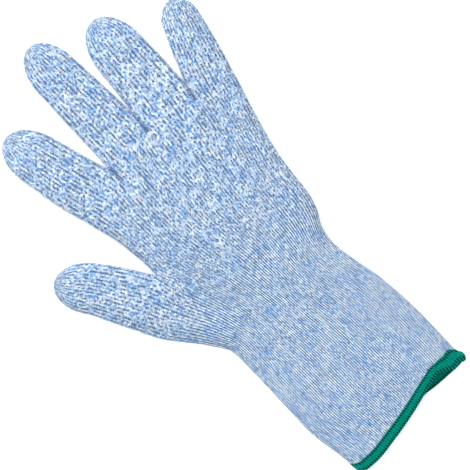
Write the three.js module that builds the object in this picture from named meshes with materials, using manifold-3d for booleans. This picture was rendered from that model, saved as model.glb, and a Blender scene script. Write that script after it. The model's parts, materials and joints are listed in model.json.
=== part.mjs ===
// Cut resistant glove: a seamless knitted glove with a long cuff and an overlocked hem,
// lying on its back with the palm up.
//
// Millimetres, +Z up. The origin is on the flat underside, below the middle of the palm.
// +Y runs up the middle of the cuff towards the fingertips, +X towards the little finger,
// and the thumb is at -X.
//
// The knitted wall is one fabric on the real glove. Here it is cut at every place where a hand
// bends it: a tube for each bone of the hand, and a short ring of soft knit at each joint.

import * as THREE from 'three';
import { mergeVertices } from 'three/addons/utils/BufferGeometryUtils.js';
import Module from 'manifold-3d';

const wasm = await Module();
wasm.setup();

// ---------------------------------------------------------------- driving dimensions

const WALL = 1.5;           // thickness of the knitted fabric
const GAP = 0.3;            // clear space between two solids that touch on the real glove
const SINK = 0.5;           // how far the lower side is pressed flat by its own weight
const HINGE_Z = 5;          // height of every bending axis, at mid thickness
const KNIT_RING = 6;        // half the length of a soft ring at a knuckle
const FINGER_RING = 5.3;    // half the length of a soft ring at a finger joint
const THUMB_RING = 6.5;     // half the length of the soft ring at the root of the thumb
const WRIST_RING = 8;       // half the length of the soft ring at the wrist
const FINGER_HEIGHT = 10.5;   // outer height of a finger at its root
const TIP_HEIGHT = 10;       // outer height of a finger where its tip begins to round off
const ROOT_LENGTH = 26;     // how far a finger's tube reaches back into the palm
const SLIT = 0.6;           // clear width between two fingers

const FINGER_POWER = 3;     // squareness of a finger's section: 2 is an ellipse
const TRUNK_POWER = 5;      // squareness of the palm's and the cuff's section
const FINGER_SIDES = 16;
const TRUNK_SIDES = 24;

const HEM_Y = -160;         // lowest edge of the hem
const HEM_WIDTH = 5.8;
const HEM_OUTSET = 0.3;     // how far the binding stands out from the cuff
const HEM_INNER = 2.0;      // depth of the binding's inner face below the cuff's outer face
const TONGUE = [0.6, 1.1];  // depths of the two faces of the fabric edge inside the binding
const TONGUE_Y = 2.6;       // how far above the hem's lowest edge the fabric begins
const WRIST_Y = -49;        // the wrist's bending axis
const KNUCKLE_Y = 53;       // where the palm ends between the fingers

const ELASTIC_YARNS = 4;
const ELASTIC_PITCH = 4;
const ELASTIC_SIZE = 0.6;   // thickness of an elastic yarn
const ELASTIC_TOP_Y = -60;  // the yarn that is nearest the wrist

// Cuff and palm: [y, left edge x, right edge x, height]
const TRUNK = [
  [HEM_Y, -43.8, 44.6, 11.5],
  [-136, -44.6, 44.9, 10.5],
  [-116, -46.0, 45.8, 10.5],
  [-96, -44.3, 44.6, 10.5],
  [-72, -42.8, 42.7, 10.5],
  [-56, -41.9, 41.8, 10.5],
  [-48, -46.3, 44.2, 10.5],
  [-40, -51.2, 48.9, 11.5],
  [-24, -50.0, 54.3, 12.5],
  [0, -39.8, 58.8, 12.5],
  [24, -38.3, 66.3, 12],
  [40, -40.5, 72.3, 11],
  [KNUCKLE_Y, -42.8, 77.2, 10.5],
];

// Fingers. knuckle is the middle of the root's bending axis, heading is the tube's direction in
// degrees from +Y towards +X, and fold is the direction, in the same way, that the root folds
// along. bones are the lengths from axis to axis and on to the tip, and halves are the half
// widths at the knuckle and where the tip begins to round off, tip long before the end.
const FINGERS = [
  { name: 'index', knuckle: [-27.8, 58.2], heading: -10.4, fold: -4, bones: [22, 19, 19.2],
    halves: [16.2, 14.6], tip: 22.8 },
  { name: 'middle', knuckle: [4.4, 66], heading: 2.9, fold: 0, bones: [26, 23, 27],
    halves: [15.2, 13.9], tip: 22 },
  { name: 'ring', knuckle: [36.1, 65.1], heading: 6.9, fold: 3, bones: [22, 18.5, 20.2],
    halves: [16.5, 15.4], tip: 24.5 },
  { name: 'little', knuckle: [64.7, 56.5], heading: 20.5, fold: 10, bones: [18.5, 14, 15.3],
    halves: [13.3, 11.5], tip: 15 },
];

// Slits between neighbouring fingers: the crotch, and the slit's direction
const SLITS = [
  { crotch: [-11, 53], heading: -3 },
  { crotch: [18.9, 60], heading: 4.5 },
  { crotch: [49.6, 53], heading: 11 },
];

// Thumb: [x, y, heading, half width] along its middle, and then the tip
const THUMB = {
  stations: [
    [-30.5, -41.5, -35, 16],
    [-42, -23.5, -31, 17],
    [-53.3, -4.2, -26.5, 16.9],
    [-63.2, 16, -24, 15.4],
    [-67.6, 26, -24, 14.6],
  ],
  tip: 22.5,
  root: [-50.9, 7.6],       // a point on the root's bending axis
  fold: -45,                // direction that the root folds along
  middle: [-65.5, 21.3],    // a point on the bending axis of the thumb's own joint
  middleFold: -24,
};

const KNIT_BLUE = 0xa6c1df;
const SOFT_BLUE = 0x9bb8da;
const HEM_GREEN = 0x0a7268;
const ELASTIC_WHITE = 0xe9e6dc;

// ---------------------------------------------------------------- solids

const rad = THREE.MathUtils.degToRad;

function toSolid(geometry) {
  const merged = geometry.clone();
  merged.deleteAttribute('normal');
  merged.deleteAttribute('uv');
  const welded = mergeVertices(merged, 1e-5);
  const vertProperties = new Float32Array(welded.attributes.position.array);
  const triVerts = new Uint32Array(welded.index.array);
  return new wasm.Manifold(new wasm.Mesh({ numProp: 3, vertProperties, triVerts }));
}

function toMesh(solid, name, material) {
  const { vertProperties, triVerts } = solid.getMesh();
  const geometry = new THREE.BufferGeometry();
  geometry.setAttribute('position', new THREE.BufferAttribute(vertProperties, 3));
  geometry.setIndex(new THREE.BufferAttribute(triVerts, 1));
  geometry.computeVertexNormals();
  const mesh = new THREE.Mesh(geometry, material);
  mesh.name = name;
  return mesh;
}

// A flattened round section, standing across the heading. Its lower side is cut flat at floorZ.
function section({ x, y, heading, half, height, middle }, power, sides, floorZ) {
  const across = new THREE.Vector3(Math.cos(rad(heading)), -Math.sin(rad(heading)), 0);
  const points = [];
  for (let i = 0; i < sides; i += 1) {
    const angle = (2 * Math.PI * i) / sides;
    const round = (value) => Math.sign(value) * Math.abs(value) ** (2 / power);
    const u = half * round(Math.cos(angle));
    const z = Math.max(floorZ, middle + (height / 2) * round(Math.sin(angle)));
    points.push(new THREE.Vector3(x, y, z).addScaledVector(across, u));
  }
  return points;
}

// A closed solid through a row of sections
function loft(rings) {
  const sides = rings[0].length;
  const positions = rings.flat().flatMap((point) => [point.x, point.y, point.z]);
  const index = [];
  for (let r = 0; r + 1 < rings.length; r += 1) {
    for (let i = 0; i < sides; i += 1) {
      const a = r * sides + i;
      const b = r * sides + ((i + 1) % sides);
      index.push(a, b + sides, b, a, a + sides, b + sides);
    }
  }
  const last = (rings.length - 1) * sides;
  for (let i = 1; i + 1 < sides; i += 1) {
    index.push(0, i, i + 1);
    index.push(last, last + i + 1, last + i);
  }
  const geometry = new THREE.BufferGeometry();
  geometry.setAttribute('position', new THREE.Float32BufferAttribute(positions, 3));
  geometry.setIndex(index);
  return toSolid(geometry);
}

// A box that starts at a point and reaches ahead along a heading
function block([x, y], heading, ahead, width, offset = 0) {
  const geometry = new THREE.BoxGeometry(width, ahead, 60);
  geometry.translate(offset, ahead / 2, 0);
  geometry.rotateZ(-rad(heading));
  geometry.translate(x, y, 0);
  return toSolid(geometry);
}

// ---------------------------------------------------------------- outer and inner shapes

function trunkEdges(y) {
  const next = Math.max(1, TRUNK.findIndex((row) => row[0] >= y));
  const [low, high] = [TRUNK[next - 1], TRUNK[next]];
  const share = (y - low[0]) / (high[0] - low[0]);
  return low.map((value, i) => THREE.MathUtils.lerp(value, high[i], share));
}

// The cuff and the palm, their surface moved inwards by inset
function trunk(inset, from = HEM_Y, to = KNUCKLE_Y) {
  const inside = TRUNK.filter((row) => row[0] > from && row[0] < to);
  const rows = [trunkEdges(from), ...inside, trunkEdges(to)];
  const rings = rows.map(([y, left, right, height]) => section({
    x: (left + right) / 2,
    y,
    heading: 0,
    half: (right - left) / 2 - inset,
    height: height - 2 * inset,
    middle: height / 2 - SINK,
  }, TRUNK_POWER, TRUNK_SIDES, Math.max(0, inset)));
  return loft(rings);
}

// A ring of the trunk between two depths below its outer surface
function trunkRing(outer, inner, from, to) {
  return trunk(outer, from, to).subtract(trunk(inner, from - 1, to + 1));
}

function ahead([x, y], heading, distance) {
  return [x + distance * Math.sin(rad(heading)), y + distance * Math.cos(rad(heading))];
}

// A tube through stations that ends in a rounded tip, its surface moved inwards by inset
function digit(stations, tip, inset) {
  const end = stations[stations.length - 1];
  const stretch = stations.map(([x, y, heading, half], i) => ({
    x,
    y,
    heading,
    half: half - inset,
    height: THREE.MathUtils.lerp(FINGER_HEIGHT, TIP_HEIGHT, i / (stations.length - 1)) - 2 * inset,
  }));
  const [endX, endY, heading, half] = end;
  const roundOff = [25, 45, 63, 77, 86].map((angle) => {
    const [x, y] = ahead([endX, endY], heading, (tip - inset) * Math.sin(rad(angle)));
    return {
      x,
      y,
      heading,
      half: (half - inset) * Math.cos(rad(angle)),
      height: (TIP_HEIGHT - 2 * inset) * Math.cos(rad(angle)) ** 0.5,
    };
  });
  const middle = (i) => THREE.MathUtils.lerp(
    FINGER_HEIGHT, TIP_HEIGHT, Math.min(1, i / (stations.length - 1)),
  ) / 2 - SINK;
  const rings = [...stretch, ...roundOff].map((station, i) => section(
    { ...station, middle: middle(i) }, FINGER_POWER, FINGER_SIDES, inset,
  ));
  return loft(rings);
}

function fingerStations({ knuckle, heading, bones, halves, tip }) {
  const length = bones.reduce((sum, bone) => sum + bone, 0);
  const [atKnuckle, atTip] = halves;
  return [[-ROOT_LENGTH, atKnuckle], [0, atKnuckle], [length - tip, atTip]].map(
    ([distance, half]) => [...ahead(knuckle, heading, distance), heading, half],
  );
}

const fingerSolid = (finger, inset) => digit(fingerStations(finger), finger.tip, inset);
const thumbSolid = (inset) => digit(THUMB.stations, THUMB.tip, inset);
const shell = (outer, inner) => outer.subtract(inner);

// ---------------------------------------------------------------- materials

function cloth(color, roughness) {
  return new THREE.MeshStandardMaterial({ color, roughness, metalness: 0 });
}

const knit = () => cloth(KNIT_BLUE, 0.9);
const softKnit = () => cloth(SOFT_BLUE, 0.9);

// ---------------------------------------------------------------- sub-parts

const REACH = 200;      // longer than any piece that a block cuts off

// Cuts a tube at its bending axes. Each cut has a point on the axis, the direction it folds
// along, half the length of its soft ring, and the names of the ring and of the tube beyond.
function cutDigit(tube, cuts) {
  const pieces = [];
  let rest = tube;
  cuts.forEach(({ point, fold, half, ring, beyond }, i) => {
    const ringStart = ahead(point, fold, -half);
    const ringEnd = ahead(point, fold, half - GAP);
    const next = ahead(point, fold, half);
    if (i > 0) {
      const before = ahead(point, fold, -half - GAP);
      pieces.push([cuts[i - 1].beyond, rest.subtract(block(before, fold, REACH, REACH)), knit]);
    }
    const length = 2 * half - GAP;
    pieces.push([ring, rest.intersect(block(ringStart, fold, length, REACH)), softKnit]);
    rest = rest.intersect(block(next, fold, REACH, REACH));
    if (i === cuts.length - 1) {
      pieces.push([beyond, rest, knit]);
    }
  });
  return pieces.map(([name, solid, material]) => toMesh(solid, name, material()));
}

function fingerCuts({ name, knuckle, heading, fold, bones }) {
  const middle = ahead(knuckle, heading, bones[0]);
  const end = ahead(middle, heading, bones[1]);
  return [
    { point: knuckle, fold, half: KNIT_RING, ring: `${name}_knuckle_ring`,
      beyond: `${name}_base_tube` },
    { point: middle, fold: heading, half: FINGER_RING, ring: `${name}_middle_joint_ring`,
      beyond: `${name}_middle_tube` },
    { point: end, fold: heading, half: FINGER_RING, ring: `${name}_end_joint_ring`,
      beyond: `${name}_fingertip` },
  ];
}

const thumbCuts = [
  { point: THUMB.root, fold: THUMB.fold, half: THUMB_RING, ring: 'thumb_root_ring',
    beyond: 'thumb_base_tube' },
  { point: THUMB.middle, fold: THUMB.middleFold, half: FINGER_RING, ring: 'thumb_joint_ring',
    beyond: 'thumb_fingertip' },
];

// The clear slits between the fingers
function slits() {
  const blocks = SLITS.map(({ crotch, heading }) => block(crotch, heading, 90, SLIT));
  return blocks.reduce((sum, solid) => sum.add(solid));
}

// Keeps a finger to its own lane between the slits, from a distance behind each crotch
function keepLane(solid, place, behind) {
  const width = 60;
  const sides = [[SLITS[place - 1], -1], [SLITS[place], 1]].filter(([slit]) => slit);
  return sides.reduce((kept, [{ crotch, heading }, side]) => {
    const start = ahead(crotch, heading, -behind);
    return kept.subtract(block(start, heading, REACH, width, side * (width - SLIT) / 2));
  }, solid);
}

function finger(spec, place) {
  const tube = shell(fingerSolid(spec, 0), fingerSolid(spec, WALL));
  const group = new THREE.Group();
  group.add(...cutDigit(keepLane(tube, place, ROOT_LENGTH), fingerCuts(spec)));
  return group;
}

function thumb() {
  const group = new THREE.Group();
  group.add(...cutDigit(shell(thumbSolid(0), thumbSolid(WALL)), thumbCuts));
  return group;
}

// The palm with the roots of the fingers and of the thumb, open at the wrist and at each root
function palm() {
  const join = (solids) => solids.reduce((sum, solid) => sum.add(solid));
  const rootStart = ({ knuckle, fold }) => ahead(knuckle, fold, -KNIT_RING - GAP);
  const fingerRoots = FINGERS.map((spec, place) => (
    keepLane(fingerSolid(spec, 0), place, 0).subtract(block(rootStart(spec), spec.fold, REACH, REACH))
  ));
  const thumbStart = ahead(THUMB.root, THUMB.fold, -THUMB_RING - GAP);
  const thumbRoot = thumbSolid(0).subtract(block(thumbStart, THUMB.fold, REACH, REACH));
  const notches = FINGERS.map((spec) => (
    block(rootStart(spec), spec.fold, ROOT_LENGTH, 2 * (spec.halves[0] + SLIT))
  ));
  const plate = trunk(0, WRIST_Y + WRIST_RING, KNUCKLE_Y).subtract(join(notches));
  const inner = [
    trunk(WALL, HEM_Y - 1, KNUCKLE_Y - WALL),
    thumbSolid(WALL),
    ...FINGERS.map((spec) => fingerSolid(spec, WALL)),
  ];
  const belowWrist = block([0, WRIST_Y + WRIST_RING], 180, REACH, REACH);
  return join([plate, thumbRoot, ...fingerRoots])
    .subtract(join(inner))
    .subtract(slits())
    .subtract(belowWrist);
}

function cuff() {
  const group = new THREE.Group();
  const fabricFrom = HEM_Y + HEM_WIDTH + GAP;
  const tube = trunkRing(0, WALL, fabricFrom, WRIST_Y - WRIST_RING - GAP);
  const tongue = trunkRing(TONGUE[0], TONGUE[1], HEM_Y + TONGUE_Y, fabricFrom);
  const binding = trunkRing(-HEM_OUTSET, HEM_INNER, HEM_Y, HEM_Y + HEM_WIDTH);
  const groove = trunkRing(
    TONGUE[0] - GAP, TONGUE[1] + GAP, HEM_Y + TONGUE_Y - GAP, HEM_Y + HEM_WIDTH + 1,
  );
  group.add(toMesh(tube.add(tongue), 'cuff_tube', knit()));
  group.add(toMesh(binding.subtract(groove), 'hem_binding', cloth(HEM_GREEN, 0.75)));
  for (let i = 0; i < ELASTIC_YARNS; i += 1) {
    const y = ELASTIC_TOP_Y - i * ELASTIC_PITCH;
    const depth = WALL + GAP;
    const yarn = trunkRing(depth, depth + ELASTIC_SIZE, y - ELASTIC_SIZE, y);
    group.add(toMesh(yarn, `wrist_elastic_${i + 1}`, cloth(ELASTIC_WHITE, 0.6)));
  }
  return group;
}

function wrist() {
  const ring = trunkRing(0, WALL, WRIST_Y - WRIST_RING, WRIST_Y + WRIST_RING - GAP);
  return toMesh(ring, 'wrist_gather', softKnit());
}

// ---------------------------------------------------------------- the glove

const glove = new THREE.Group();
glove.add(toMesh(palm(), 'palm_shell', knit()));
glove.add(wrist());
glove.add(cuff());
glove.add(thumb());
FINGERS.forEach((spec, place) => glove.add(finger(spec, place)));

export default glove;
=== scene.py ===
"""A seamless knitted cut resistant glove, lying flat with its palm up, modelled stitch by stitch.

Shapes are worked out in millimetres in the frame of the CAD model and turned into metres at the end.
The front and the back of the glove each have WALES columns of stitches. Round the glove they make rings:
the front from the thumb side to the little finger side, then the back the other way.
"""

import json
import math

import bpy
import numpy as np
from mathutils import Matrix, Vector


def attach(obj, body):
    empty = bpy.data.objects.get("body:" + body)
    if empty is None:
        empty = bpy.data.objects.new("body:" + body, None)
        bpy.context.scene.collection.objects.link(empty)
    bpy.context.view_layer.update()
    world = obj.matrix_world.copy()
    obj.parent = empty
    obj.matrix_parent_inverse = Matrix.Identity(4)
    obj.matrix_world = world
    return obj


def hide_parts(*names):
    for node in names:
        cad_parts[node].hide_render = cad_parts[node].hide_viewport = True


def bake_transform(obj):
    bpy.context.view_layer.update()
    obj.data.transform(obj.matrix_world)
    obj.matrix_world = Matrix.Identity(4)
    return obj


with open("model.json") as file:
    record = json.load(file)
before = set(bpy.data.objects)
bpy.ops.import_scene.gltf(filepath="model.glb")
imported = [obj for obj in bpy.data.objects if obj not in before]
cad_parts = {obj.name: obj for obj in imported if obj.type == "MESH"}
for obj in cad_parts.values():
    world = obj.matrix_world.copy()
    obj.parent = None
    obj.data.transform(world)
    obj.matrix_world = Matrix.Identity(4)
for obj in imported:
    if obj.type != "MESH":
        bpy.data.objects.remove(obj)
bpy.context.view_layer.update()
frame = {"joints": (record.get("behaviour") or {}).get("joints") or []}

MM = 0.001
SEED = 11

# The knit, in wales (columns of stitches) and courses (rows of stitches).
THUMB_WALES = 16
FINGER_WALES = 15
WALES = THUMB_WALES + 4 * FINGER_WALES
# The wales at which one digit ends and the next one begins.
STOPS = [0] + [THUMB_WALES + FINGER_WALES * k for k in range(5)]
# Columns of points in a wale.
COLUMNS = 4
CUFF_COURSES = 67
LOWER_CUFF_COURSES = 36
GUSSET_COURSES = 45
WRIST_BORDER_COURSES = 16
PALM_COURSES = 35
# Courses below a crotch over which the fabric gathers into separate digits.
THUMB_GATHER_COURSES = 10
FINGER_GATHER_COURSES = 9
# The back's wales are numbered from here on, so that its yarn doesn't mirror the front's.
BACK_WALE = 200

# Height of stitch relief at the four columns of a wale: gap, leg, middle of the V, leg.
RIDGE_RELIEF = np.array([-0.26, 0.30, -0.10, 0.30])
VALLEY_RELIEF = np.array([-0.38, -0.04, -0.24, -0.04])
# How far each column's rows sag down the glove, in courses, which makes the V.
SAG = np.array([0.0, 0.25, 0.5, 0.25])
# How much the relief varies from stitch to stitch, the width of a wale that shows it in full, and its limits.
RELIEF_VARIES = 0.16
FULL_RELIEF_WIDTH = 1.3
RELIEF_LIMITS = (0.15, 1.15)
# Within this distance of a crotch the stitches fade out.
CALM = 2.5

# The knit is thinner near a crotch and in the last courses of a closed tip.
KNIT_THICKNESS = 1.0
THIN_NEAR_CROTCH = 7
THIN_COURSES = 5
THINNEST = 0.1

# Unevenness of the empty cloth: height and size in x and y, in mm, and where its noise starts.
UNEVEN = [
    (0.45, 17, 21, 9),
    (0.22, 7, 8, 30),
]
# Puckers above the wrist, where the elastic ends: x, y, half width, half length, height.
GATHERS = [
    (2, -40, 1.6, 7, -1.3),
    (6, -42, 1.5, 6, 0.9),
    (10, -38, 1.6, 7, -1.5),
    (14, -41, 1.5, 6, 1.1),
    (18, -39, 1.6, 7, -1.5),
    (22, -43, 1.6, 6, 0.9),
    (26, -40, 1.6, 6, -1.1),
    (-14, -43, 2.2, 6, -1.0),
    (-22, -38, 2.2, 8, -1.0),
    (33, -40, 1.8, 6, -0.9),
    (-34, -20, 2.4, 9, -1.2),
    (-29, -24, 2.2, 9, 0.8),
]
# Unevenness and puckers grow to their full height this far above the rolled edges.
LIFT = 4
# The lowest that the knit's outside lies above the floor.
LOWEST_Z = 0.06

# The cross-section of the empty glove: edges rolled over, flat underneath.
ROUNDNESS = 2.3
REACH = 11.0
# Rise of the rolled edge that the wales are spread over.
ROLL = 3.2
# Width of the dip round a crotch, and how much shorter it is along the digits.
DIP = 6.5
DIP_SHORTER = 1.5
UNDER_REACH = 6.0
EDGE_Z = 4.6
UNDER_Z = 0.45
HEIGHT_Y = [-160, -140, -100, -56, -40, -15, 15, 40, 60, 140]
HEIGHT = [9.6, 9.4, 9.6, 9.4, 10.6, 11.8, 11.6, 10.8, 10.2, 9.8]

# Outlines of the cuff and the palm, as (y, x).
LEFT_Y = [-160, -152, -144, -120, -104, -88, -72, -64, -56, -49]
LEFT_X = [-42.5, -43.6, -44.0, -46.0, -44.8, -43.4, -42.2, -41.6, -41.9, -45.4]
RIGHT_Y = [-160, -152.6, -149.5, -146.5, -141, -120, -104, -88, -72, -56, -49]
RIGHT_X = [42.2, 43.4, 44.0, 42.9, 43.4, 45.2, 45.5, 44.8, 42.6, 41.9, 43.6]

# The wales that lead to the edges and the crotches, from the wrist up, as (x, y).
WRIST_Y = -56.0
THUMB_CROTCH = (-38.5, 3.0)
CROTCHES = [(-11.0, 53.0), (18.8, 61.0), (49.6, 53.0)]
THUMB_OUTER = [(-45.6, -49), (-51.2, -40), (-56.9, -32), (-62.4, -24), (-68.2, -12)]
THUMB_INNER = [(-27.5, -38), (-33.5, -17), THUMB_CROTCH]
INDEX_OUTER = [THUMB_CROTCH, (-37.9, 9), (-38.2, 22), (-39.2, 34), (-42.0, 47.5)]
LITTLE_OUTER = [
    (43.8, -48),
    (48.9, -40),
    (52.4, -32),
    (55.4, -16),
    (58.8, 0),
    (63.9, 16),
    (69.6, 32),
    (74.6, 44.5),
]
BETWEEN_WALES = [
    [(-10.0, -34), (-14.5, 1), (-12.6, 34), CROTCHES[0]],
    [(10.2, -34), (10.8, 2), (15.2, 36), CROTCHES[1]],
    [(30.0, -34), (35.4, 1), (44.5, 33), CROTCHES[2]],
]

# Digits: courses, stations (x, y, half width) above the root, tip point and length of the rounded end.
DIGITS = {
    "thumb": (41, [(-63.3, 16.0, 15.5), (-67.6, 24.4, 14.4)], (-80.8, 42.6), 21.0),
    "index": (50, [(-30.7, 72.0, 15.9), (-34.7, 96.0, 14.8)], (-38.7, 117.6), 22.5),
    "middle": (60, [(5.1, 80.0, 15.4), (7.2, 120.0, 14.0)], (8.5, 142.0), 22.0),
    "ring": (50, [(38.2, 81.0, 16.2), (40.6, 101.0, 15.5)], (43.4, 125.6), 24.5),
    "little": (41, [(70.6, 72.0, 12.7), (76.5, 86.5, 11.2)], (82.2, 101.0), 15.0),
}
WALES_OF = {name: THUMB_WALES if name == "thumb" else FINGER_WALES for name in DIGITS}
FIRST_WALE = dict(zip(DIGITS, STOPS))
# A digit turns from its root's direction to its own within this distance.
ROOT_LENGTH = 30
# How much steeper a digit's side is at the root, where another digit touches it.
TOUCHING_STEEPNESS = 1.8
# A last station nearer than this to the rounded end is left out.
STATION_GAP = 3
# Share of the full width at which a digit's end is closed flat.
TIP_END = 0.09
# How strongly a tip's narrowing counts when its courses are spaced.
TIP_SPACING = 0.7
# Share of the underside's depth that a digit keeps at its very end, and what its width adds.
TIP_DEPTH = 0.55
WIDTH_DEPTH = 0.45

# Where each digit's fabric is divided, between the folds of two joints, in mm from its root.
SPLITS = {
    "thumb": [19.6],
    "index": [19.5, 40.0],
    "middle": [22.3, 46.7],
    "ring": [19.6, 40.0],
    "little": [19.2, 34.6],
}

# Digits lie against each other for a while above a crotch: distances from the root, how much of the
# lean they have there, and how far each digit's left and right edges lean out.
SLIT_ALONG = [0, 3, 8, 13, 20]
SLIT_SHARE = [0, 0.35, 1.0, 0.8, 0]
SLITS = {
    "thumb": (0.0, 0.0),
    "index": (0.0, 0.9),
    "middle": (0.9, 0.9),
    "ring": (0.9, 0.9),
    "little": (0.9, 0.0),
}

# Green overlocked hem. Lower edges of the front and back layers, as (x, y).
FRONT_EDGE_X = [-46, -41, -36, -15, 0, 11, 20, 27, 31, 35, 39, 43, 46]
FRONT_EDGE_Y = [-153, -157.6, -158.6, -157.9, -156.0, -154.0, -152.2]
FRONT_EDGE_Y += [-151.2, -153.6, -156.6, -156.4, -157.8, -154.5]
BACK_EDGE_X = [-46, -41, -36, -15, 0, 11, 20, 30, 40, 43, 46]
BACK_EDGE_Y = [-153, -157.6, -158.6, -157.9, -156.2, -154.9, -156.4, -157.6, -158.4, -158.2, -154.5]
# Where the hem's lower edge would be if it were straight, and the lowest point of its curves.
CUFF_START_Y = -158.0
LOWEST_EDGE_Y = -158.6
# The hem's curves fade out over this height, its layers meet within this distance of the sides, and
# the sides' outlines are read this much higher up.
CURVE_FADE = 34
LAYERS_MEET = 4
SIDE_SHIFT = 5.4
# The mouth gapes: where across the cuff, half width and rise.
GAPE_X = 27
GAPE_WIDTH = 9
GAPE_RISE = 2.6
HEM_HEIGHT = 6.6
# The front of the hem is taller near its right end: where that begins, over how much, and where it ends.
HEM_EXTRA = 4.2
TALL_FROM_X = 27
TALL_RISE = 9
TALL_TO_X = 45.6
TALL_FALL = 5.0
# How far the hem stands out from the knit's outer skin, and from its inner skin.
HEM_RISE = 0.7
HEM_INSIDE_RISE = 0.55
HEM_LOOPS = 58
HEM_COLUMNS = 6
HEM_STEPS = 20
# Rows of the hem's section: up its outside, round the lip at its lower end, and up its inside.
OUTSIDE_ROWS = 15
LIP_ROWS = 5
INSIDE_ROWS = 8
LIP_SHARE = 0.14
INSIDE_SHARE = 0.8
# Its loops: slant in loops a millimetre, roundness, depth between two loops, and the deeper dents at the
# two lines of needle holes, as (share of the height, half width, depth).
HEM_SLANT = 0.09
WRAP_ROUNDNESS = 0.6
WRAP_DEPTH = 0.10
NEEDLE_DENTS = [(0.80, 0.10, 0.45), (0.24, 0.12, 0.45)]
# The dents at the lip: share of the height, over how much they fade, depth, and how far they rise.
LIP_DENT = 0.05
LIP_FADE = 0.12
LIP_DEPTH = 0.40
LIP_RISE = 0.5
# The hem's top edge turns down to the knit: over what share of the height, and to what rise.
TOP_EDGE = 0.09
TOP_RISE = 0.15
HEM_LOWEST_Z = 0.05
KNIT_START = 3.0

# The elastic yarns: radius, distance from the knit, points round them and along each wale, wrapped thread.
ELASTIC_Y = [-60.0, -64.0, -68.0, -72.0]
ELASTIC_RADIUS = 0.3
ELASTIC_GAP = 0.1
ELASTIC_SIDES = 8
ELASTIC_COLUMNS = 3
ELASTIC_WRAP = 0.16

# Each piece's joint, the heading across its fold in degrees, and how far before and after the joint's axis
# the fold would reach, in mm. Only the joint is looked up; the pieces are not bent.
BENDS = {
    "wrist_knit": ("wrist_bend", 180.0, -8.4, 8.4),
    "thumb_root_knit": ("thumb_root_bend", -45.0, -1.6, 8.4),
    "thumb_joint_knit": ("thumb_joint_bend", -24.0, -6.0, 7.5),
    "index_knuckle_knit": ("index_knuckle_bend", -4.0, -6.2, 8.0),
    "index_middle_knit": ("index_middle_bend", -10.4, -7.0, 7.5),
    "index_end_knit": ("index_end_bend", -10.4, -6.5, 6.5),
    "middle_knuckle_knit": ("middle_knuckle_bend", 0.0, -4.9, 8.0),
    "middle_middle_knit": ("middle_middle_bend", 2.9, -7.5, 7.5),
    "middle_end_knit": ("middle_end_bend", 2.9, -7.0, 7.0),
    "ring_knuckle_knit": ("ring_knuckle_bend", 3.0, -4.9, 8.0),
    "ring_middle_knit": ("ring_middle_bend", 6.9, -7.0, 7.5),
    "ring_end_knit": ("ring_end_bend", 6.9, -6.5, 6.5),
    "little_knuckle_knit": ("little_knuckle_bend", 10.0, -5.8, 6.5),
    "little_middle_knit": ("little_middle_bend", 20.5, -5.5, 6.0),
    "little_end_knit": ("little_end_bend", 20.5, -5.0, 5.0),
}
# The finger's nodes that each of its pieces stands for.
FINGER_NODES = {
    "knuckle": ["knuckle_ring", "base_tube"],
    "middle": ["middle_joint_ring", "middle_tube"],
    "end": ["end_joint_ring", "fingertip"],
}

# Colours, in sRGB from 0 to 255.
BLUE_YARN = (98, 164, 226)
WHITE_YARN = (238, 253, 255)
LILAC_YARN = (240, 242, 255)
CLEAR_YARN = (56, 138, 226)
# Painted shade for the gaps between stitches, darkest in the holes through the knit.
GAP_SHADE_BLUE = (24, 78, 136)
SHADE_YARN = (28, 66, 112)
HOLE_SHADE = (8, 26, 54)
HEM_YARN = (0, 132, 114)
# Darker green: the hem's random mottling, and painted shade between its loops. Near black: painted shade in
# its needle holes and along its lip.
HEM_DEEP = (0, 76, 70)
HEM_HOLE_SHADE = (0, 22, 24)
FIBRE_WHITE = (240, 246, 255)
SHEEN = (200, 214, 235)
ELASTIC_YARN = (232, 232, 226)
# Grey for the elastic: painted shade between the thread's wraps, and random darker patches.
ELASTIC_DEEP = (150, 150, 146)
PAPER = (252, 252, 252)
WHITE = (255, 255, 255)
# Scales of the noises that stand for fibres and mottling.
FIBRE_SCALE = 2600.0
PATCH_SCALE = 0.13
HEM_FIBRE_SCALE = 2400.0
HEM_MOTTLE_SCALE = 800.0
ELASTIC_FIBRE_SCALE = 3000.0
ELASTIC_PATCH_SCALE = 90.0
PAPER_SCALE = 900.0
# How the two yarns' blend is shared between their winding along a course and the single leg.
WINDING_SCALE = (1.7, 1.9, 1.0)
WINDING_SHARE = 0.40
LEG_SHARE = 0.60
# How dark the painted shade in the gaps in the middle of the stitches is, against that between the wales.
MIDDLE_GAP_SHADE = 0.55
# Courses over which the cuff's drawn-in stitches open into the palm's.
CUFF_TO_PALM = (78.0, 96.0)
# Distance from a gap's middle, in wales, at which its painted shade begins and is at its darkest.
GAP_SHADE_EDGE = (0.34, 0.14)
# Height of the fibres in the bump maps, in metres.
BUMP_HEIGHT = 0.0001
# The camera looks straight down: the width it sees and its middle, in mm, and its turn in degrees.
CAMERA_LENS = 120.0
SENSOR = 36.0
VIEW_WIDTH = 265.55
VIEW_CENTRE = (7.98, -14.4)
VIEW_TURN = -48.0
WORLD_STRENGTH = 0.89
# The paper glows a little, as if lit from all round.
LIGHT_TABLE = 0.30
FLOOR_SIZE = 80.0
CLIP_END = 20.0
# Name, place, size and power.
LAMPS = [
    ("key", (0.2, 1.5, 1.3), 0.6, 29.0),
    ("fill", (-0.9, -0.9, 1.5), 1.6, 4.0),
]

# Points that smooth lines are sampled at before they are divided evenly.
EDGE_SAMPLES = 80
LINE_SAMPLES = 400
BODY_SAMPLES = 120
TIP_SAMPLES = 60
# Side of the table of random values behind the cloth's unevenness.
NOISE_SIZE = 64
# Points of a piece that agree to this many decimals of a millimetre are one.
WELD_DECIMALS = 4


# ---------------------------------------------------------------- small numeric helpers
def smoothstep(x):
    x = np.clip(x, 0, 1)
    return x * x * (3 - 2 * x)


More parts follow.
